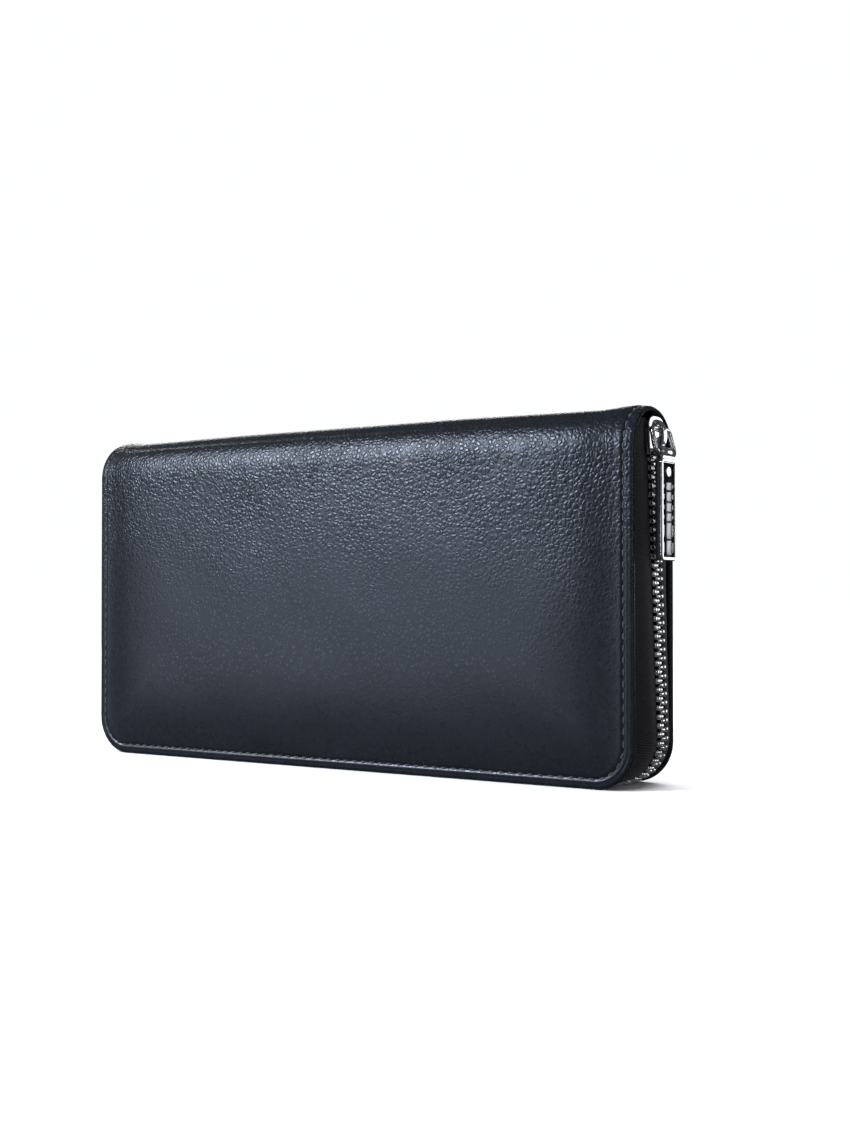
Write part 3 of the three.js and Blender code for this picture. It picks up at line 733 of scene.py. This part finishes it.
def build_teeth():
    """The two rows of teeth, half a pitch apart so that they mesh."""
    path = ChainPath(ROW_START_Z, ROW_END_Z)
    count = int((path.total - TOOTH_PITCH) / TOOTH_PITCH)
    shape, shape_faces = tooth_shape()
    for half, side in HALVES:
        shift = 0.0 if side < 0 else TOOTH_PITCH / 2
        places, runs, normals = [], [], []
        for k in range(count):
            (x, z), (ox, oz) = path.at(TOOTH_PITCH * (k + 0.5) + shift)
            places.append((x, 0, z))
            runs.append((0, -side, 0))
            normals.append((ox, 0, oz))
        points, faces = scatter(shape, shape_faces, *np.array([places, runs, normals], float))
        row = solid(f"{half}_zip_teeth", points, faces, "teeth")
        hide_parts(f"{half}_teeth")
        follow_zip(row, side)


def tape_stations():
    """Matched places on the chain's line and on the cover's outline, all the way round."""
    right = []
    for z in np.concatenate([[101.0], np.arange(99.5, 15, -3.0)]):
        right.append(((chain_side_x(z), z), (HALF_LENGTH, z), (1.0, 0.0)))
    steps = 12
    cx, cz = CHAIN_CORNER
    for k in range(steps + 1):
        turn = k / steps * math.pi / 2
        chain_turn = -CHAIN_TILT + k / steps * (math.pi / 2 + CHAIN_TILT)
        chain = (cx + CHAIN_RADIUS * math.cos(chain_turn), cz - CHAIN_RADIUS * math.sin(chain_turn))
        edge = (HALF_LENGTH - CORNER * (1 - math.cos(turn)), CORNER * (1 - math.sin(turn)))
        right.append((chain, edge, (math.cos(turn), -math.sin(turn))))
    bottom = [
        ((t * cx, cz - CHAIN_RADIUS), (t * (HALF_LENGTH - CORNER), 0.0), (0.0, -1.0))
        for t in np.linspace(1, -1, 40)[1:-1]
    ]
    left = [((-c[0], c[1]), (-e[0], e[1]), (-o[0], o[1])) for c, e, o in reversed(right)]
    return right + bottom + left


def tape_section(station, side):
    """Across the tape: the hem sewn behind the rim, a soft bulge, and the edge that the teeth clamp."""
    chain, edge, out = station
    inner = RIM_DEPTH - 1.2
    above = max(edge[1] - ARCH_Z, 0)
    squeeze = math.sqrt(max((inner - 0.4) ** 2 - above ** 2, 0)) / inner
    # past the outline, and from the middle plane
    hem = [
        (-8.0, inner - 0.6), (-4.5, inner - 0.55), (-2.4, inner - 0.65),
        (-1.5, inner - 1.3), (-1.1, inner - 2.6),
    ]
    points = [(edge[0] + n * out[0], side * depth * squeeze, edge[1] + n * out[1]) for n, depth in hem]
    clamped = (5.2, 4.0, 3.1, 2.6)  # from the middle plane, in line with the teeth
    last = np.array(points[-1])
    row = np.array((chain[0], side * clamped[0], chain[1]))
    points.append(tuple((last + row) / 2 + 0.35 * np.array((out[0], 0, out[1]))))
    points += [(chain[0], side * depth, chain[1]) for depth in clamped]
    return points


def running_length(line):
    """The distance travelled up to each point of a line."""
    return np.concatenate([[0], np.cumsum(np.linalg.norm(np.diff(line, axis=0), axis=1))])


def with_lengths(mesh, rows, columns, points):
    """UV lengths in millimetres: along the strip and across it."""
    grid = np.asarray(points, float).reshape(rows, columns, 3)
    along = running_length(grid[:, columns // 2])
    across = running_length(grid[rows // 2])
    layer = mesh.uv_layers.new(name="Lengths")
    for loop in mesh.loops:
        i, j = divmod(loop.vertex_index, columns)
        layer.data[loop.index].uv = (along[i], across[j])
    return mesh


def strip(name, points, look, thickness, levels=1):
    """A soft strip from rows of points, given a thickness and smoothed."""
    rows, columns = len(points), len(points[0])
    flat = [tuple(p) for row in points for p in row]
    mesh = with_lengths(mesh_from(name, flat, grid_faces(rows, columns)), rows, columns, flat)
    piece = link(name, mesh, look)
    body = piece.modifiers.new("thickness", "SOLIDIFY")
    body.thickness = thickness * MM
    body.offset = 0
    soft = piece.modifiers.new("soft", "SUBSURF")
    soft.levels = soft.render_levels = levels
    return piece


def build_tapes():
    stations = tape_stations()
    for half, side in HALVES:
        points = [tape_section(station, side) for station in stations]
        tape = strip(f"{half}_woven_tape", points, "tape", 0.55)
        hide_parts(f"{half}_zip_tape")
        follow_zip(tape, side)


build_teeth()
build_tapes()


# ---- Slider and pull ----

SLIDER_PLACE = (chain_side_x(SLIDER_Z) * MM, 0, SLIDER_Z * MM)
SLIDER_MATRIX = Matrix.Translation(SLIDER_PLACE) @ Matrix.Rotation(-CHAIN_TILT, 4, "Y")
UPPER_BAR = SLIDER_MATRIX @ Vector((CROSSBAR[0] * MM, 0, CROSSBAR[1] * MM)) / MM
REACH = math.hypot(LOWER_BAR.x - UPPER_BAR.x, UPPER_BAR.z - LOWER_BAR.z)
LEAN = math.atan2(LOWER_BAR.x - UPPER_BAR.x, UPPER_BAR.z - LOWER_BAR.z)
RING_MATRIX = Matrix.Translation(UPPER_BAR * MM) @ Matrix.Rotation(-LEAN, 4, "Y")
TAB_MATRIX = Matrix.Translation(LOWER_BAR * MM)


def place_part(name, parts, matrix, look, body, edge_width, segments=3):
    """One hard piece made of several shapes, moved to its place and riding on a body, if one is given."""
    points, faces = join_parts(parts)
    mesh = outward(mesh_from(name, points, faces))
    mesh.transform(matrix)
    piece = link(name, mesh, look)
    if edge_width:
        bevel(piece, edge_width, segments)
    if body:
        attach(piece, body)
    return piece


def smooth_outline(corner_points, radius_steps=4, pull=0.28):
    """Rounds an outline's corners by replacing each with a short curve."""
    rounded = []
    count = len(corner_points)
    for k, corner in enumerate(corner_points):
        before = Vector(corner_points[k - 1])
        after = Vector(corner_points[(k + 1) % count])
        here = Vector(corner)
        start = here.lerp(before, pull)
        end = here.lerp(after, pull)
        for j in range(radius_steps + 1):
            t = j / radius_steps
            rounded.append(tuple((1 - t) ** 2 * start + 2 * t * (1 - t) * here + t * t * end))
    return rounded


def build_slider():
    """The slider's two plates, the side walls between them, the wedge at its top and the bridge."""
    half = [(3.3, -6.0), (4.45, -4.4), (4.75, 2.8), (4.0, 5.2), (2.0, 6.0)]
    outline = smooth_outline(half + [(-a, b) for a, b in reversed(half)], pull=0.35)
    plates = [prism(outline, *PLATE), prism(outline, -PLATE[1], -PLATE[0])]
    for side in (-1, 1):
        for low, high in ((0.6, 1.45), (-1.45, -0.6)):
            wall = rounded_rectangle(side * 4.05 - 0.42, -4.7, side * 4.05 + 0.42, 2.9, 0.3, 2)
            plates.append(prism(wall, low, high))
    wedge = smooth_outline([(-0.9, 3.4), (0.9, 3.4), (0.9, 5.6), (-0.9, 5.6)])
    plates.append(prism(wedge, -1.4, 1.4))
    slider = place_part("slider_body", plates, SLIDER_MATRIX, "chrome", "slider", 0.16)
    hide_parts("zip_slider")
    arch = prism(bridge_outline(), -1.1, 1.1, along_y)
    place_part("slider_bridge", [arch], SLIDER_MATRIX, "chrome", "slider", 0.3, 4)


def build_front_stop():
    """The front top stop is clamped to the tape, so it is handled like the tape's front side."""
    block = prism(rounded_rectangle(-2.9, 3.4, -1.3, 5.4, 0.25, 2), -1.0, 1.0)
    stop = place_part("front_stop", [block], SLIDER_MATRIX, "teeth", None, 0.15)
    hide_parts("front_top_stop")
    follow_zip(stop, -1)


def bridge_outline():
    """The slider's bridge from the side: a low arch with the ring's tunnel under it."""
    foot = 2.0
    outer = [(foot, -3.6)]
    for a in np.linspace(0.15, math.pi - 0.2, 18):
        outer.append((foot + 2.75 * math.sin(a), 0.8 - 4.3 * math.cos(a)))
    outer.append((foot, 5.1))
    inner = [(foot, 4.2)]
    for a in np.linspace(math.pi - 0.1, 0.1, 14):
        inner.append((foot + 0.15 + 1.85 * math.sin(a), CROSSBAR[1] - 0.4 - 1.75 * math.cos(a)))
    inner.append((foot, -0.2))
    return outer + inner


def rounded_section(width, thickness, corner, steps=3):
    return rounded_rectangle(-width / 2, -thickness / 2, width / 2, thickness / 2, corner, steps)


def closed_loop(path, section, normal):
    """A section carried round a closed path that lies in one plane."""
    path = [Vector(p) for p in path]
    rows, count = len(path), len(section)
    normal = Vector(normal)
    points = []
    for k, here in enumerate(path):
        run = (path[(k + 1) % rows] - path[k - 1]).normalized()
        side = run.cross(normal).normalized()
        points += [tuple(here + side * a + normal * b) for a, b in section]
    last = (rows - 1) * count
    faces = grid_faces(rows, count, closed=True)
    faces += [[last + j, last + (j + 1) % count, (j + 1) % count, j] for j in range(count)]
    return points, faces


def build_ring():
    """A loop round both bars, narrower at the slider's."""
    half = 5.85
    top, low = 0.35, -REACH
    corners = [(-half + 0.6, top), (half - 0.6, top), (half, low), (-half, low)]
    outline = smooth_outline(corners, 8, 0.2)
    dense = [(0, y, z) for y, z in outline]
    loop = closed_loop(dense, rounded_section(1.15, 1.25, 0.4), (1, 0, 0))
    ring = place_part("pull_ring_polished", [loop], RING_MATRIX, "chrome", "ring", 0)
    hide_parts("pull_ring")


def tube(radius, bore, half_length, sides=32, bevelled=0.3):
    """A barrel along Y with a bore, its ends rounded over."""
    profile = [
        (bore, -half_length),
        (radius - bevelled, -half_length),
        (radius, -half_length + bevelled),
        (radius, half_length - bevelled),
        (radius - bevelled, half_length),
        (bore, half_length),
    ]
    points, faces = [], []
    for k in range(sides):
        a = 2 * math.pi * k / sides
        points += [(r * math.cos(a), y, r * math.sin(a)) for r, y in profile]
    count = len(profile)
    for k in range(sides):
        n = (k + 1) % sides
        for j in range(count):
            m = (j + 1) % count
            faces.append([k * count + j, k * count + m, n * count + m, n * count + j])
    return points, faces


def place_on_tab(name, parts, look, edge_width, segments=3):
    return place_part(name, parts, TAB_MATRIX, look, "tab", edge_width, segments)


def build_tab():
    """The tab: a satin core with a polished border, neck and barrel, and a dark recess in its face."""
    edge, foot = TAB_WIDTH / 2, -TAB_LENGTH
    outer = rounded_rectangle(-edge, foot, edge, -1.7, 1.3, 5)
    slab = prism(outer, -TAB_HALF, TAB_HALF - 0.55)
    core = place_on_tab("pull_tab_core", [slab], "satin", 0.25)
    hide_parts("pull_tab")
    border_path = rounded_rectangle(0.55 - edge, foot + 0.55, edge - 0.55, -2.25, 0.9, 6)
    border_line = [(TAB_HALF - 0.35, a, b) for a, b in border_path]
    border = closed_loop(border_line, rounded_section(1.1, 0.95, 0.3), (1, 0, 0))
    place_on_tab("pull_tab_border", [border], "chrome", 0)
    place_on_tab("pull_tab_barrel", [tube(1.45, 0.82, 4.0)], "chrome", 0)
    neck = smooth_outline([(-3.9, -3.0), (3.9, -3.0), (3.4, -0.9), (-3.4, -0.9)], 4, 0.15)
    place_on_tab("pull_tab_neck", [prism(neck, -0.95, 0.95)], "chrome", 0.25)
    recess = rounded_rectangle(1.0 - edge, foot + 1.0, edge - 1.0, -2.7, 0.6, 3)
    place_on_tab("pull_tab_recess", [prism(recess, TAB_HALF - 0.56, TAB_HALF - 0.46)], "dark", 0)
    build_tab_bars()


def build_tab_bars():
    """A plain ladder of raised blocks in the tab's recess, under a small round boss."""
    cuts = [-8.0, -10.6, -13.6, -16.4, -19.0, -23.8, -28.2]
    floor = TAB_HALF - 0.6
    blocks = []
    for high, low in zip(cuts, cuts[1:]):
        face = rounded_rectangle(-1.55, low + 0.2, 1.55, high - 0.2, 0.25, 2)
        blocks.append(prism(face, floor, TAB_HALF - 0.02))
    for high, low in zip(cuts, cuts[1:]):
        for across in (-2.75, 2.75):
            rung = rounded_rectangle(across - 0.42, low + 0.75, across + 0.42, high - 0.75, 0.2, 2)
            blocks.append(prism(rung, floor, TAB_HALF - 0.2))
    place_on_tab("pull_tab_bars", blocks, "satin", 0.1, 2)
    turns = np.linspace(0, 2 * math.pi, 25)[:-1]
    boss = [(1.5 * math.cos(a), -5.3 + 1.5 * math.sin(a)) for a in turns]
    place_on_tab("pull_tab_boss", [prism(boss, floor, TAB_HALF + 0.02)], "chrome", 0.3, 4)


build_slider()
build_front_stop()
build_ring()
build_tab()


# ---- Inside ----

def dress_nodes():
    """Materials for the CAD pieces that keep their own shape."""
    looks = {
        "foam": ("foam_pad",),
        "board": ("stiffener_board",),
        "flat_lining": ("lining", "coin_pocket_spacer"),
        "inner": ("card_panel", "card_slot", "coin_front_wall", "coin_back_wall"),
        "flat_tape": ("coin_zip_lower_tape", "coin_zip_upper_tape"),
        "teeth": ("top_stop", "bottom_stop"),
    }
    for node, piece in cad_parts.items():
        for look, words in looks.items():
            if any(word in node for word in words):
                piece.data.materials.clear()
                piece.data.materials.append(MATERIALS[look])
    for node in ("bottom_stop", "back_top_stop"):
        bevel(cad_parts[node], 0.25)


def build_spine_lining():
    """Cloth that lines the spine's arch, between the two covers' linings."""
    radius, half = 11.3, 91.0
    rows = []
    for a in np.linspace(0.06, math.pi - 0.06, 28):
        depth = -radius * math.cos(a)
        rows.append([(x, depth, ARCH_Z + radius * math.sin(a)) for x in np.linspace(-half, half, 40)])
    lining = strip("spine_lining_cloth", rows, "lining", 0.45, 0)
    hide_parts("spine_lining")
    bend_spine(lining)


def build_gussets():
    """Side gussets: a strip that folds in a W between the linings, softer at its folds than the stand-in."""
    folds = [(94.4, -9.5), (89.6, -4.8), (94.0, 0.0), (89.6, 4.8), (94.4, 9.5)]
    edge_x = folds[0][0]
    low, high = 11, 91
    for hand, sign in (("right", 1), ("left", -1)):
        rows = []
        for z in np.linspace(low, high, 30):
            pinch = 0.75 + 0.25 * math.sin((z - low) / (high - low) * math.pi)
            row = []
            for t in np.linspace(0, 4, 25):
                k = min(int(t), 3)
                eased = 0.5 - 0.5 * math.cos((t - k) * math.pi)
                x = folds[k][0] + (folds[k + 1][0] - folds[k][0]) * eased
                y = folds[k][1] + (folds[k + 1][1] - folds[k][1]) * (t - k)
                row.append((sign * (edge_x - (edge_x - x) * pinch), y, z))
            rows.append(row)
        gusset = strip(f"{hand}_side_gusset", rows, "inner", 0.5)
        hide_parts(f"{hand}_gusset")
        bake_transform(gusset)


def stitch_lines(name, lines, normal, body, pitch=2.6):
    """Small stitches along straight lines, each given by its two ends, that ride on a body."""
    shape, shape_faces = capsule(1.9, 0.17, rings=5, sides=6)
    places, runs = [], []
    for start, end in np.array(lines, float):
        length = np.linalg.norm(end - start)
        run = (end - start) / length
        line_places = [start + run * d for d in np.arange(pitch / 2, length, pitch)]
        places += line_places
        runs += [run] * len(line_places)
    normals = [np.array(normal, float)] * len(places)
    points, faces = scatter(shape, shape_faces, places, runs, normals)
    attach(solid(name, points, faces, "thread"), body)


def build_card_slots():
    """The turned-over mouths of the card slots, and the stitches that hold the slots to their panel."""
    for half, side in HALVES:
        trims, lines = [], []
        for k in range(1, 5):
            low, high = box_mm(f"{half}_card_slot_{k}")
            face = high.y if side < 0 else low.y
            bead = rounded_rectangle(face - 0.26, low.z - 0.18, face + 0.26, low.z + 2.2, 0.24, 3)
            points = [(x, y, z) for x in (low.x + 0.6, high.x - 0.6) for y, z in bead]
            trims.append((points, grid_faces(2, len(bead), closed=True) + end_caps(2, len(bead))))
            inner = face - side * 0.12
            lines.append(((low.x + 2, inner, high.z - 1.5), (high.x - 2, inner, high.z - 1.5)))
            for x in (low.x + 2, high.x - 2, 0):
                lines.append(((x, inner, low.z + 3), (x, inner, high.z - 2)))
        points, faces = join_parts(trims)
        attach(solid(f"{half}_slot_edges", points, faces, "inner"), f"{half}_half")
        stitch_lines(f"{half}_slot_stitching", lines, (0, -side, 0), f"{half}_half")


def build_coin_zip():
    """The coin pocket's zip: small teeth, a slider and the stitches round its slot."""
    low, high = box_mm("coin_zip_teeth")
    middle_z, face = (low.z + high.z) / 2, low.y
    tooth = np.array([(x, y, z) for x in (-0.95, 0.35) for y in (-0.3, 0.3) for z in (-0.42, 0.42)])
    tooth_faces = [[0, 1, 3, 2], [4, 6, 7, 5], [0, 4, 5, 1], [2, 3, 7, 6], [0, 2, 6, 4], [1, 5, 7, 3]]
    places, runs, normals = [], [], []
    for k, x in enumerate(np.arange(low.x + 1, high.x - 1, 0.8)):
        side = 1 if k % 2 else -1  # the teeth come from above and below in turn
        places.append((x, face + 0.1, middle_z + side * 0.15))
        runs.append((0, 0, -side))
        normals.append((0, -1, 0))
    points, faces = scatter(tooth, tooth_faces, *np.array([places, runs, normals], float))
    teeth = solid("coin_zip_tooth_rows", points, faces, "teeth", smooth=False)
    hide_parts("coin_zip_teeth")
    bevel(teeth, 0.08, 1)
    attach(teeth, "coin_pocket")
    slot_low, slot_high = box_mm("coin_zip_lower_tape")[0], box_mm("coin_zip_upper_tape")[1]
    wall = box_mm("coin_front_wall")[0].y - 0.02
    heights = (slot_low.z + 0.5, slot_high.z - 0.5)
    lines = [((slot_low.x, wall, z), (slot_high.x, wall, z)) for z in heights]
    stitch_lines("coin_zip_stitching", lines, (0, -1, 0), "coin_pocket")
    build_coin_slider()


def build_coin_slider():
    """The coin zip's slider: a plate on the chain and a low bridge on two legs."""
    low, high = box_mm("coin_zip_slider")
    place = Matrix.Translation(((low.x + high.x) / 2 * MM, 0, (low.z + high.z) / 2 * MM))

    outline = smooth_outline([(-3.4, -1.5), (3.0, -2.2), (3.6, 0), (3.0, 2.2), (-3.4, 1.5)], pull=0.3)
    plate = prism(outline, -3.3, -2.65, along_y)
    body = place_part("coin_slider_body", [plate], place, "chrome", "coin_slider", 0.15)
    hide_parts("coin_zip_slider")
    bridge = [prism(rounded_rectangle(-1.9, -0.8, 1.9, 0.8, 0.4), -5.2, -4.6, along_y)]
    for left, right in ((-1.9, -1.1), (1.1, 1.9)):
        leg = rounded_rectangle(left, -0.7, right, 0.7, 0.25, 2)
        bridge.append(prism(leg, -4.9, -3.1, along_y))
    place_part("coin_slider_bridge", bridge, place, "chrome", "coin_slider", 0.12)


dress_nodes()
build_spine_lining()
build_gussets()
build_card_slots()
build_coin_zip()


# ---- Stage, light and camera ----

def build_stage():
    """A pale floor that runs out of sight."""
    reach = 30000.0
    corners = [(-reach, -reach, 0), (reach, -reach, 0), (reach, reach, 0), (-reach, reach, 0)]
    mesh = mesh_from("floor", corners, [[0, 1, 2, 3]])
    n = Nodes("pale_floor")
    patchy = n.noise(3.0, 2.0).outputs["Fac"]
    n.set(Base_Color=n.mix(patchy, colour(0.88, 0.89, 0.92), colour(0.92, 0.925, 0.94)))
    n.set(Roughness=0.7)
    floor = new_object("floor", mesh)
    mesh.materials.append(n.material)
    floor.visible_glossy = False  # a bright floor would wash out the leather's reflections


def area_light(name, place, target, size, power, tint=(1, 1, 1)):
    data = bpy.data.lights.new(name, "AREA")
    data.shape = "RECTANGLE"
    data.size, data.size_y = size
    data.energy = power
    data.color = tint
    lamp = new_object(name, data)
    lamp.location = Vector(place)
    aim(lamp, Vector(target) - Vector(place))


def aim(item, direction):
    """Turns a lamp, which shines along its own -Z, in a direction."""
    item.rotation_euler = Vector(direction).to_track_quat("-Z", "Y").to_euler()


def build_light():
    """A dim studio with a broad overhead light, a softbox in front and weak cards round the wallet."""
    world = bpy.data.worlds.new("studio")
    world.use_nodes = True
    tree = world.node_tree
    background = tree.nodes["Background"]
    seen = tree.nodes.new("ShaderNodeLightPath")
    level = tree.nodes.new("ShaderNodeMapRange")
    level.inputs["To Min"].default_value = 0.08  # as the wallet sees it
    level.inputs["To Max"].default_value = 1.05  # as the camera sees it
    tree.links.new(seen.outputs["Is Camera Ray"], level.inputs["Value"])
    tree.links.new(level.outputs["Result"], background.inputs["Strength"])
    background.inputs["Color"].default_value = (0.95, 0.975, 1.0, 1)
    bpy.context.scene.world = world
    sky = bpy.data.lights.new("overhead", "SUN")
    sky.energy = 3.9
    sky.angle = math.radians(80)
    overhead = new_object("overhead", sky)
    aim(overhead, (0.05, -0.12, -1.0))
    overhead.visible_glossy = False
    area_light("front_softbox", (-0.52, -0.75, 0.51), (0, 0, 0.07), (0.40, 0.36), 15.0, (0.90, 0.94, 1.0))
    area_light("low_fill", (-0.56, -0.78, 0.03), (0, 0, 0.05), (0.5, 0.2), 1.0, (0.88, 0.92, 1.0))
    area_light("rear_card", (-0.75, 0.85, 0.50), (0, 0, 0.1), (0.8, 0.4), 4.0)
    area_light("right_strip", (0.85, -0.2, 0.3), (0.1, 0, 0.06), (0.12, 0.5), 0.8)
    area_light("back_card", (0.50, 0.80, 0.14), (0.1, 0, 0.06), (0.5, 0.4), 1.3)
    bpy.context.scene.view_settings.view_transform = "Standard"


# Seen from the right of the front and a little above the middle; the focal length is in picture heights.
CAMERA = {"place": (288.0, -387.6, 52.8), "yaw": 0.5973, "pitch": 0.018, "focal": 1560.0 / 1133.0}


def build_camera():
    data = bpy.data.cameras.new("camera")
    data.sensor_width = 36.0
    data.lens = CAMERA["focal"] * data.sensor_width
    data.clip_start = 0.01
    data.clip_end = 20.0
    camera = new_object("camera", data)
    camera.location = Vector(CAMERA["place"]) * MM
    camera.rotation_euler = (math.pi / 2 + CAMERA["pitch"], 0, CAMERA["yaw"])
    bpy.context.scene.camera = camera


build_stage()
build_light()
build_camera()
